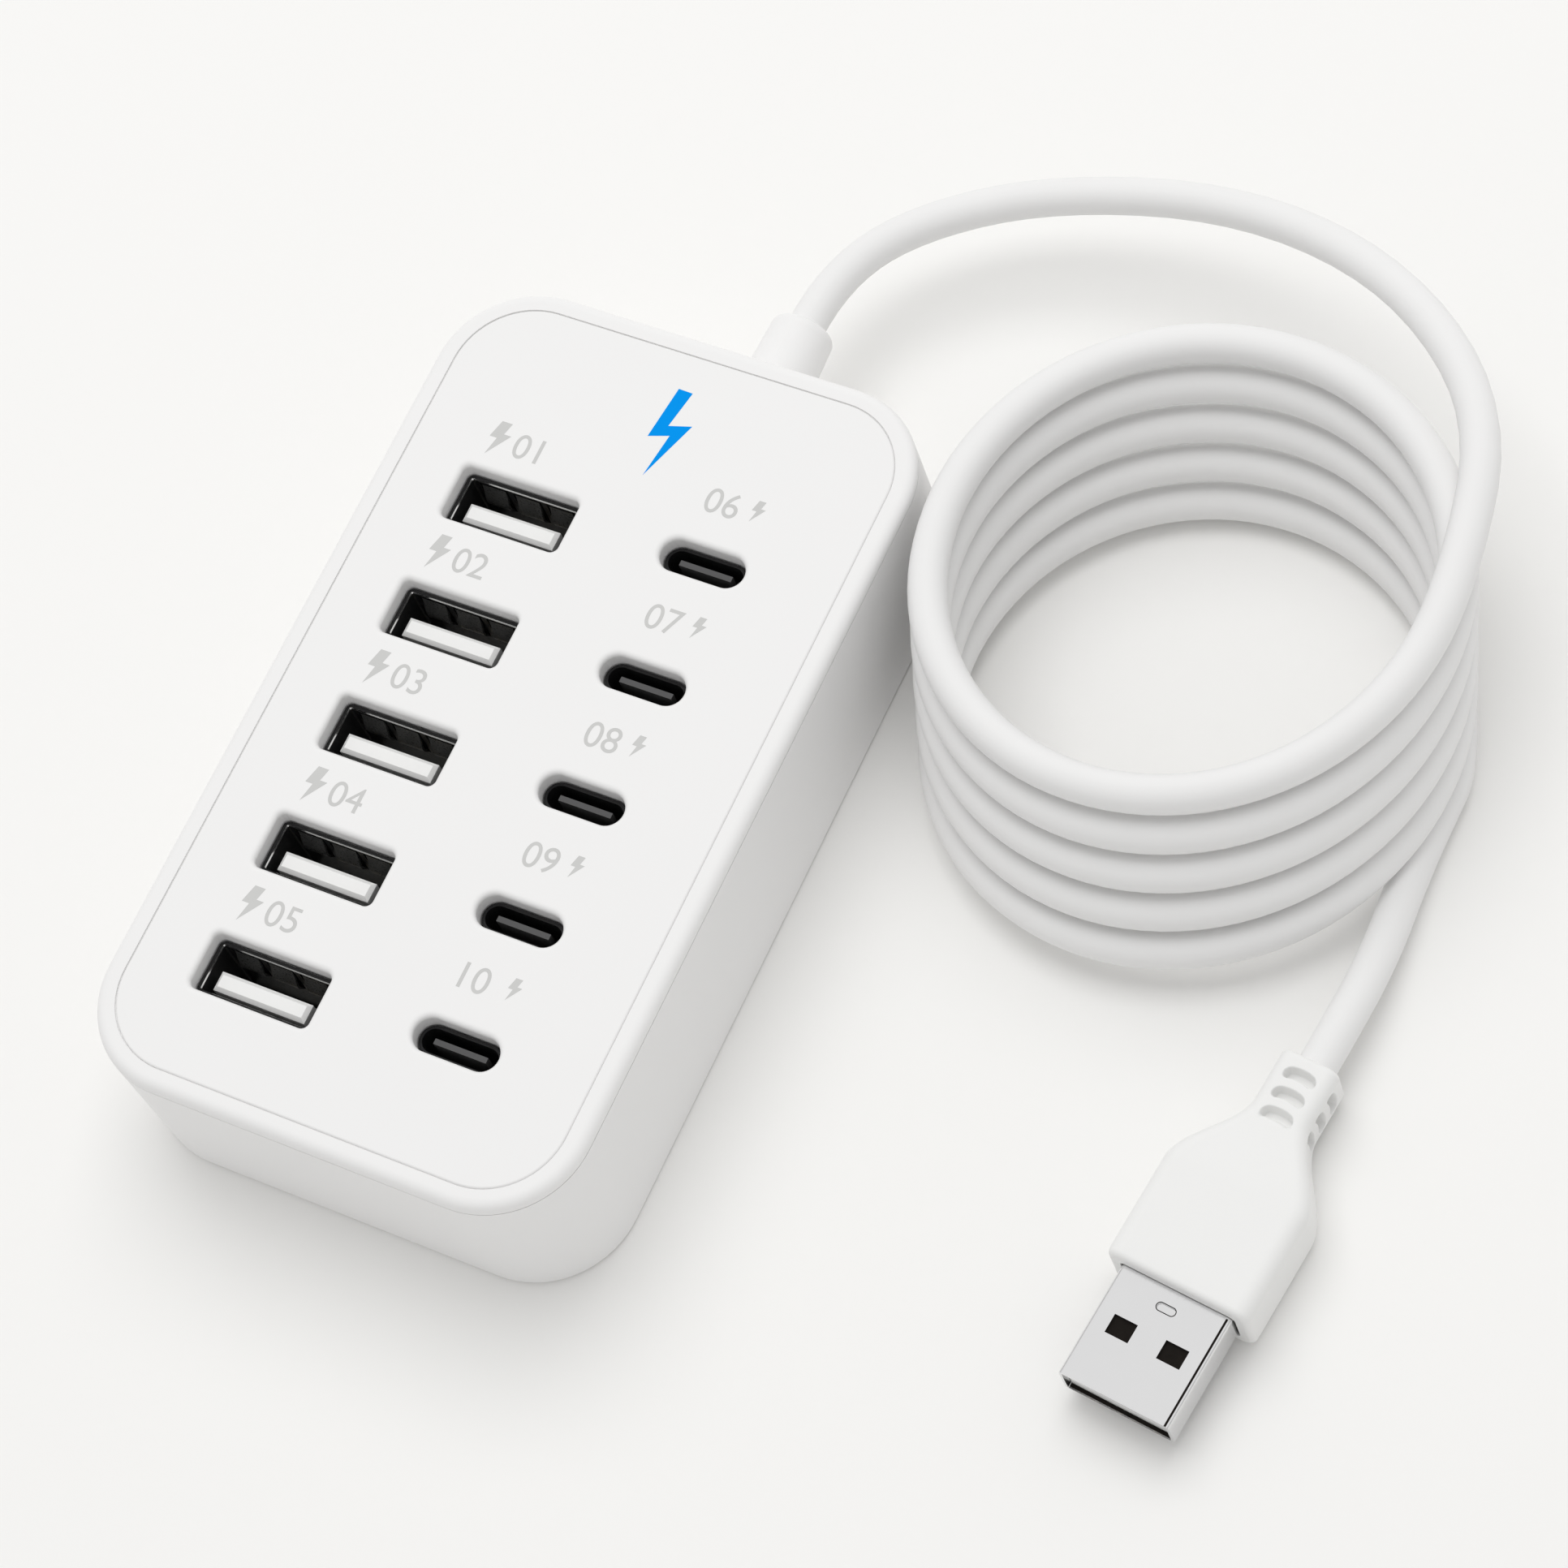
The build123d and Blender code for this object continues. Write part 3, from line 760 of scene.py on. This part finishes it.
class CHARGER_OT_cable(Operator):
    """Lay the cable from the strain relief round its coil to the plug"""

    bl_idname = "charger.cable"
    bl_label = "Cable"

    def execute(self, context):
        looks = context.scene.charger_cable
        jacket = finish(
            "matt_white_jacket",
            looks.white,
            roughness=0.52,
            grain=0.25 * MM,
            grain_height=0.006 * MM,
            mottle=6.0 * MM,
            variation=0.01,
            Specular_IOR_Level=0.35,
        )
        route = np.concatenate(
            [np.array(EXIT_ROUTE) * MM, coil_turns(looks), np.array(TAIL_ROUTE) * MM]
        )
        curve = bpy.data.curves.new("cable", "CURVE")
        curve.dimensions = "3D"
        curve.bevel_depth = looks.diameter / 2
        curve.bevel_resolution = ROUND_STEPS
        curve.resolution_u = LONG_STEPS
        curve.use_fill_caps = True
        spline = curve.splines.new("NURBS")
        spline.points.add(len(route) - 1)
        spline.points.foreach_set("co", np.insert(route, 3, 1.0, axis=1).ravel())
        spline.order_u = 3
        spline.use_endpoint_u = True
        curve.materials.append(jacket)
        cable = bpy.data.objects.new("cable", curve)
        context.scene.collection.objects.link(cable)
        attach(cable, ROOT)
        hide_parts("cable_exit", "cable_coil", "cable_tail")
        return {"FINISHED"}


# Plug

# Millimetres across, up and along the plug from the cable's end.
GRIP_FRONT = 26.0
SHELL_WIDTH, SHELL_HEIGHT = 12.0, 4.5
# Near-black plates that paint shade: behind the windows, on the floor of the mouth, and along the
# folded seam.
WINDOW_SHADE_PLATE = ((-5.5, 1.75, 26.5), (5.5, 1.88, 37.4))
MOUTH_SHADE_PLATE = ((-5.55, -1.92, 37.45), (5.55, -1.86, 37.85))
SEAM_SHADE_PLATE = ((5.48, 2.2, 26.2), (5.7, 2.256, 38.0))
GAP_RECESS, GAP_THICKNESS = 0.2, 0.5
DIMPLE_FROM_FRONT, DIMPLE_WIDTH, DIMPLE_LENGTH = 2.0, 2.16, 0.96
# The dimple's dark line is painted shade round its edge.
DIMPLE_SHADE_WIDTH, DIMPLE_LIFT = 0.09, 0.01
DIMPLE_ROUND = 2.01  # a little over two leaves its ends a short straight piece

SLOT_COUNT = 3
EDGE_ROWS, FLARE_ROWS, BLOCK_ROWS = 9, 34, 8
NECK_STEP = 0.08 * MM
NECK_ROWS_END, FLARE_ROWS_START = 1.24 * MM, 1.3 * MM  # past the neck's end
FLAT_SIDE = 0.999  # normals on a section's straight sides have a part larger than this


def smooth_step(share):
    """A share from 0 to 1 that starts and ends level."""
    share = np.clip(share, 0.0, 1.0)
    return share * share * (3.0 - 2.0 * share)


def grip_rows(looks):
    """Places along the plug's axis with the width, height and corner radius of the section there.

    The neck is straight, the shoulders follow a smooth step from the neck's section to the
    block's, and both ends are rounded by a quarter circle that draws the section in.
    """
    neck_end = looks.neck_length
    block_start = neck_end + looks.flare_length
    front = block_start + looks.block_length
    turn = np.linspace(0.0, math.pi / 2, EDGE_ROWS)
    rear = looks.rear_edge * (1.0 - np.cos(turn))
    nose = front - looks.front_edge * (1.0 - np.sin(turn))
    along = np.concatenate(
        [
            rear,
            np.arange(looks.rear_edge + NECK_STEP, neck_end + NECK_ROWS_END, NECK_STEP),
            np.linspace(neck_end + FLARE_ROWS_START, block_start, FLARE_ROWS),
            np.linspace(block_start, nose[0], BLOCK_ROWS)[1:-1],
            nose,
        ]
    )
    swell = smooth_step((along - neck_end) / looks.flare_length)
    drawn = np.zeros_like(along)
    drawn[: len(turn)] = looks.rear_edge * (1.0 - np.sin(turn))
    drawn[-len(turn):] = looks.front_edge * (1.0 - np.cos(turn))
    width = looks.neck_width + (looks.block_width - looks.neck_width) * swell - 2 * drawn
    height = looks.neck_width + (looks.block_height - looks.neck_width) * swell - 2 * drawn
    corner = looks.neck_corner + (looks.block_corner - looks.neck_corner) * swell - drawn
    return along, width, height, corner


def slot_depths(looks, along, across):
    """Depth of the neck's slots at places along the axis and across one side.

    Each slot is a stadium bent along the neck, and its depth grows by a smooth step from
    its edge inwards.
    """
    depth = np.zeros(np.broadcast_shapes(along.shape, across.shape))
    half = looks.slot_length / 2
    straight = looks.slot_width / 2 - half
    bend = looks.slot_bow * (across / (looks.slot_width / 2)) ** 2
    for slot in range(SLOT_COUNT):
        middle = looks.slot_start + slot * looks.slot_spacing
        beyond = np.maximum(np.abs(across) - straight, 0.0)
        inside = half - np.hypot(beyond, along - middle + bend)
        depth = np.maximum(depth, looks.slot_depth * smooth_step(inside / looks.slot_edge))
    return depth


def grip_surface(looks, corner_steps=9, side_steps=52):
    """The grip as rows of rounded rectangles along its axis, with slots pressed into the neck.

    Every row is a section outline from the size and corner radius there. On the four sides
    of the neck the points move inwards by the slots' depth. The rear ends in a flat disc of
    points, and the front folds into the opening for the metal shell.
    """
    along, width, height, corner = grip_rows(looks)
    sections = [
        rounded_outline(w, h, r, corner_steps, side_steps) for w, h, r in zip(width, height, corner)
    ]
    flat = np.stack([points for points, _ in sections])
    normals = np.stack([normal for _, normal in sections])
    on_side = np.abs(normals).max(axis=2) > FLAT_SIDE
    upright = np.abs(normals[..., 1]) > np.abs(normals[..., 0])
    across = np.where(upright, flat[..., 0], flat[..., 1])
    depth = np.where(on_side, slot_depths(looks, along[:, None], across), 0.0)
    flat = flat - depth[..., None] * normals
    place = np.repeat(along[:, None], flat.shape[1], axis=1)
    opening, _ = rounded_outline(
        looks.shell_width, looks.shell_height, looks.shell_corner, corner_steps, side_steps
    )
    front = along[-1]
    flat = np.concatenate([flat, opening[None], opening[None]])
    folds = np.repeat([[front], [front - looks.shell_seat]], len(opening), axis=1)
    place = np.concatenate([place, folds])
    faces = grid_faces(*place.shape)
    last = place.size - place.shape[1]
    faces += [list(range(place.shape[1]))[::-1], list(range(last, place.size))]
    return np.concatenate([flat, place[..., None]], axis=2), faces


def plate(box):
    """A box between two corners, given in millimetres across, up and along the plug."""
    corners = np.stack(np.meshgrid(*zip(*box), indexing="ij"), axis=-1) * MM
    faces = [[0, 1, 3, 2], [4, 6, 7, 5], [0, 4, 5, 1], [2, 3, 7, 6], [0, 2, 6, 4], [1, 5, 7, 3]]
    return corners.reshape(-1, 3), faces


def gap_shade_ring(looks):
    """A dark ring of painted shade in the gap between the grip's opening and the metal shell.

    Its section is a rectangle carried along the opening's outline, from the opening inwards
    to the shell.
    """
    outline, normals = rounded_outline(looks.shell_width, looks.shell_height, looks.shell_corner)
    gap = (looks.shell_width - SHELL_WIDTH * MM) / 2
    front = (GRIP_FRONT - GAP_RECESS) * MM
    back = front - GAP_THICKNESS * MM
    profile = [(0.0, back), (0.0, front), (gap, front), (gap, back)]
    points = carried_profile(outline, normals, profile)
    return points, grid_faces(*points.shape[:2], tube=True)


def dimple_shade_line():
    """A dark line of painted shade round the oblong dimple on the shell's top.

    Its section is a thin rectangle carried along a stadium, which is turned from the plane it
    is drawn in on to the shell.
    """
    width, depth, line = DIMPLE_WIDTH * MM, DIMPLE_LENGTH * MM, DIMPLE_SHADE_WIDTH * MM
    outline, normals = rounded_outline(width, depth, depth / DIMPLE_ROUND)
    foot, top = [(SHELL_HEIGHT / 2 + lift) * MM for lift in (-DIMPLE_LIFT, DIMPLE_LIFT)]
    profile = [(0.0, foot), (line, foot), (line, top), (0.0, top)]
    points = carried_profile(outline, normals, profile)
    points = points[..., [0, 2, 1]]
    points[..., 2] += (GRIP_FRONT + DIMPLE_FROM_FRONT) * MM
    return points, grid_faces(*points.shape[:2], tube=True)


def plug_space(looks, points):
    """Points given across, up and along the plug, brought to the end of the cable."""
    axis = np.array([-math.sin(looks.turn), -math.cos(looks.turn), 0.0])
    across = np.array([math.cos(looks.turn), -math.sin(looks.turn), 0.0])
    directions = np.stack([across, np.cross(axis, across), axis])
    return np.array(TAIL_ROUTE[-1]) * MM + points @ directions


class CHARGER_OT_plug(Operator):
    """Build the over-moulded grip and dress the metal shell and its insert"""

    bl_idname = "charger.plug"
    bl_label = "Plug"

    def execute(self, context):
        looks = context.scene.charger_plug
        white = finish(
            "white_overmould",
            looks.white,
            roughness=0.4,
            grain=0.2 * MM,
            grain_height=0.004 * MM,
            mottle=6.0 * MM,
            variation=0.008,
            Specular_IOR_Level=0.4,
        )
        metal = finish(
            "bright_nickel",
            looks.metal,
            roughness=0.2,
            grain=0.06 * MM,
            grain_height=0.0006 * MM,
            variation=0.015,
            roughness_change=0.06,
            stretch=(1.0, 0.04, 1.0),
            turn=looks.turn,
            Metallic=1.0,
        )
        insert = finish(
            "white_insert",
            looks.white,
            roughness=0.42,
            grain=0.2 * MM,
            grain_height=0.003 * MM,
            variation=0.01,
        )
        gilt = gilding("plug_contact_gilt", context.scene.charger_board.brass)
        # Painted shade: a near-black finish for plates and rings put where the plug has only shade.
        dark = finish(
            "dark_plug_liner",
            looks.dark,
            roughness=0.5,
            grain=0.3 * MM,
            grain_height=0.004 * MM,
            mottle=0.9 * MM,
            variation=0.35,
            Specular_IOR_Level=0.08,
        )
        dress(metal, "plug_shell")
        dress(insert, "plug_tongue")
        dress(gilt, "plug_contacts")
        points, faces = grip_surface(looks)
        points = plug_space(looks, points)
        grip = add_piece("grip", points, faces, white, sharp=GRIP_SHARP_EDGE)
        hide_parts("plug_grip")
        # Painted shade behind the windows, on the mouth's floor and in the gap round the shell.
        points, faces = joined([plate(WINDOW_SHADE_PLATE), plate(MOUTH_SHADE_PLATE), gap_shade_ring(looks)])
        add_piece("plug_liner", plug_space(looks, points), faces, dark)
        # Painted shade along the folded seam and round the dimple.
        points, faces = joined([plate(SEAM_SHADE_PLATE), dimple_shade_line()])
        add_piece("plug_seam", plug_space(looks, points), faces, dark)
        return {"FINISHED"}


# Stage

ROOM_TOP = 0.6
ROOM_TINT = (1.0, 0.998, 0.994, 1.0)
SENSOR_WIDTH = 36.0
NEAREST = 0.01


def heading_vector(heading, height):
    """Unit vector towards a compass heading and an elevation."""
    level = math.cos(height)
    return Vector((level * math.cos(heading), level * math.sin(heading), math.sin(height)))


class CHARGER_OT_stage(Operator):
    """Lay the pale floor and set the soft light and the camera"""

    bl_idname = "charger.stage"
    bl_label = "Stage"

    def execute(self, context):
        looks = context.scene.charger_stage
        self.lay_floor(context, looks)
        self.light_world(context, looks)
        self.hang_soft_box(context, looks)
        self.set_camera(context, looks)
        context.scene.view_settings.view_transform = "Standard"
        return {"FINISHED"}

    def lay_floor(self, context, looks):
        """A pale square just under the charger."""
        half = looks.floor_side / 2
        mesh = bpy.data.meshes.new("floor")
        corners = [(-half, -half), (half, -half), (half, half), (-half, half)]
        mesh.from_pydata([(*corner, -looks.floor_gap) for corner in corners], [], [[0, 1, 2, 3]])
        pale = finish(
            "pale_floor",
            looks.floor,
            roughness=0.7,
            grain=3.0 * MM,
            grain_height=0.01 * MM,
            mottle=60.0 * MM,
            variation=0.004,
        )
        mesh.materials.append(pale)
        floor = bpy.data.objects.new("floor", mesh)
        context.scene.collection.objects.link(floor)

    def light_world(self, context, looks):
        """Even fill for the surfaces; gloss sees a room darker at the horizon, cameras a pale one."""
        world = bpy.data.worlds.new("pale_room")
        world.use_nodes = True
        context.scene.world = world
        nodes, links = world.node_tree.nodes, world.node_tree.links
        path = nodes.new("ShaderNodeLightPath")
        direction = nodes.new("ShaderNodeTexCoord")
        split = nodes.new("ShaderNodeSeparateXYZ")
        links.new(direction.outputs["Generated"], split.inputs[0])
        room = add_node(
            nodes,
            "ShaderNodeMapRange",
            From_Min=0.0,
            From_Max=ROOM_TOP,
            To_Min=looks.horizon,
            To_Max=looks.backdrop,
        )
        links.new(split.outputs["Z"], room.inputs["Value"])
        gloss = nodes.new("ShaderNodeMix")
        gloss.inputs["A"].default_value = looks.fill
        links.new(path.outputs["Is Glossy Ray"], gloss.inputs["Factor"])
        links.new(room.outputs["Result"], gloss.inputs["B"])
        seen = nodes.new("ShaderNodeMix")
        seen.inputs["B"].default_value = looks.backdrop
        links.new(path.outputs["Is Camera Ray"], seen.inputs["Factor"])
        links.new(gloss.outputs["Result"], seen.inputs["A"])
        background = nodes["Background"]
        links.new(seen.outputs["Result"], background.inputs["Strength"])
        background.inputs["Color"].default_value = ROOM_TINT

    def hang_soft_box(self, context, looks):
        """One large soft light over the charger, which gloss does not see."""
        light = bpy.data.lights.new("soft_box", "AREA")
        light.shape = "SQUARE"
        light.size = looks.key_side
        light.energy = looks.key_power
        box = bpy.data.objects.new("soft_box", light)
        towards = heading_vector(looks.key_heading, looks.key_height)
        box.location = Vector(looks.camera_aim) + towards * looks.key_distance
        box.rotation_euler = (-towards).to_track_quat("-Z", "Y").to_euler()
        box.visible_glossy = False
        context.scene.collection.objects.link(box)

    def set_camera(self, context, looks):
        """A camera at a heading and a height, rolled about its line of sight."""
        lens = bpy.data.cameras.new("camera")
        lens.lens = looks.lens
        lens.sensor_width = SENSOR_WIDTH
        lens.clip_start = NEAREST
        back = heading_vector(looks.camera_heading, looks.camera_height)
        level = Vector((-math.sin(looks.camera_heading), math.cos(looks.camera_heading), 0.0))
        upright = back.cross(level)
        roll = looks.camera_roll
        right = level * math.cos(roll) - upright * math.sin(roll)
        up = upright * math.cos(roll) + level * math.sin(roll)
        camera = bpy.data.objects.new("camera", lens)
        turn = Matrix((right, up, back)).transposed()
        place = Vector(looks.camera_aim) + back * looks.camera_distance
        camera.matrix_world = Matrix.Translation(place) @ turn.to_4x4()
        context.scene.collection.objects.link(camera)
        context.scene.camera = camera


class CHARGER_PT_pieces(Panel):
    """The charger's pieces, in the order in which they are made"""

    bl_idname = "CHARGER_PT_pieces"
    bl_label = "Charger"
    bl_space_type = "VIEW_3D"
    bl_region_type = "UI"
    bl_category = "Charger"

    def draw(self, context):
        for operator in OPERATORS:
            self.layout.operator(operator.bl_idname)


GROUPS = {
    "charger_housing": HousingLooks,
    "charger_sockets": SocketLooks,
    "charger_cable": CableLooks,
    "charger_plug": PlugLooks,
    "charger_board": BoardLooks,
    "charger_stage": StageLooks,
}
OPERATORS = (
    CHARGER_OT_housing,
    CHARGER_OT_wide_sockets,
    CHARGER_OT_narrow_sockets,
    CHARGER_OT_board,
    CHARGER_OT_prints,
    CHARGER_OT_plug,
    CHARGER_OT_cable,
    CHARGER_OT_stage,
)


def register():
    """Add the property groups, operators and panel."""
    for group in (*GROUPS.values(), *OPERATORS, CHARGER_PT_pieces):
        bpy.utils.register_class(group)
    for name, group in GROUPS.items():
        setattr(bpy.types.Scene, name, PointerProperty(type=group))


def unregister():
    """Take them away again."""
    for name in GROUPS:
        delattr(bpy.types.Scene, name)
    for group in (CHARGER_PT_pieces, *OPERATORS, *GROUPS.values()):
        bpy.utils.unregister_class(group)


def main():
    """Make every piece."""
    register()
    for operator in OPERATORS:
        family, name = operator.bl_idname.split(".")
        getattr(getattr(bpy.ops, family), name)()


if __name__ == "__main__":
    main()
